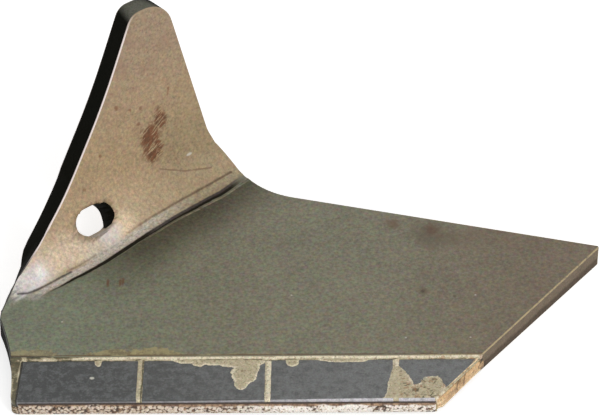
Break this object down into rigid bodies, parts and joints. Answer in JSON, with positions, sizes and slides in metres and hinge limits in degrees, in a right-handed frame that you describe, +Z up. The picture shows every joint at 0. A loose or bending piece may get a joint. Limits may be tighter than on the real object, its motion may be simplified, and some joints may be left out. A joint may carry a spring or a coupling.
{
  "type": "cultivator wing share",
  "caption": "Bent steel wing share with an upright ear, a slotted bolt hole and carbide tiles brazed along its cutting edge.",
  "frame": {"origin": "centre of the part's footprint, on the plane of the plate's underside", "axes": "+X along the cutting edge towards the pointed end, +Y back from the cutting edge, +Z up from the underside towards the ear's tip"},
  "size_m": [0.2406, 0.148, 0.0966],
  "materials": {
    "mill_steel": "satin",
    "carbide": "satin",
    "braze": "matte",
    "hardfacing": "matte"
  },
  "bodies": {
    "root": {"wing_blade": "mill_steel", "carbide_tile_1": "carbide", "carbide_tile_2": "carbide", "carbide_tile_3": "carbide", "carbide_end_tile": "carbide", "braze_filler": "braze", "edge_hardfacing": "hardfacing"}
  },
  "joints": []
}
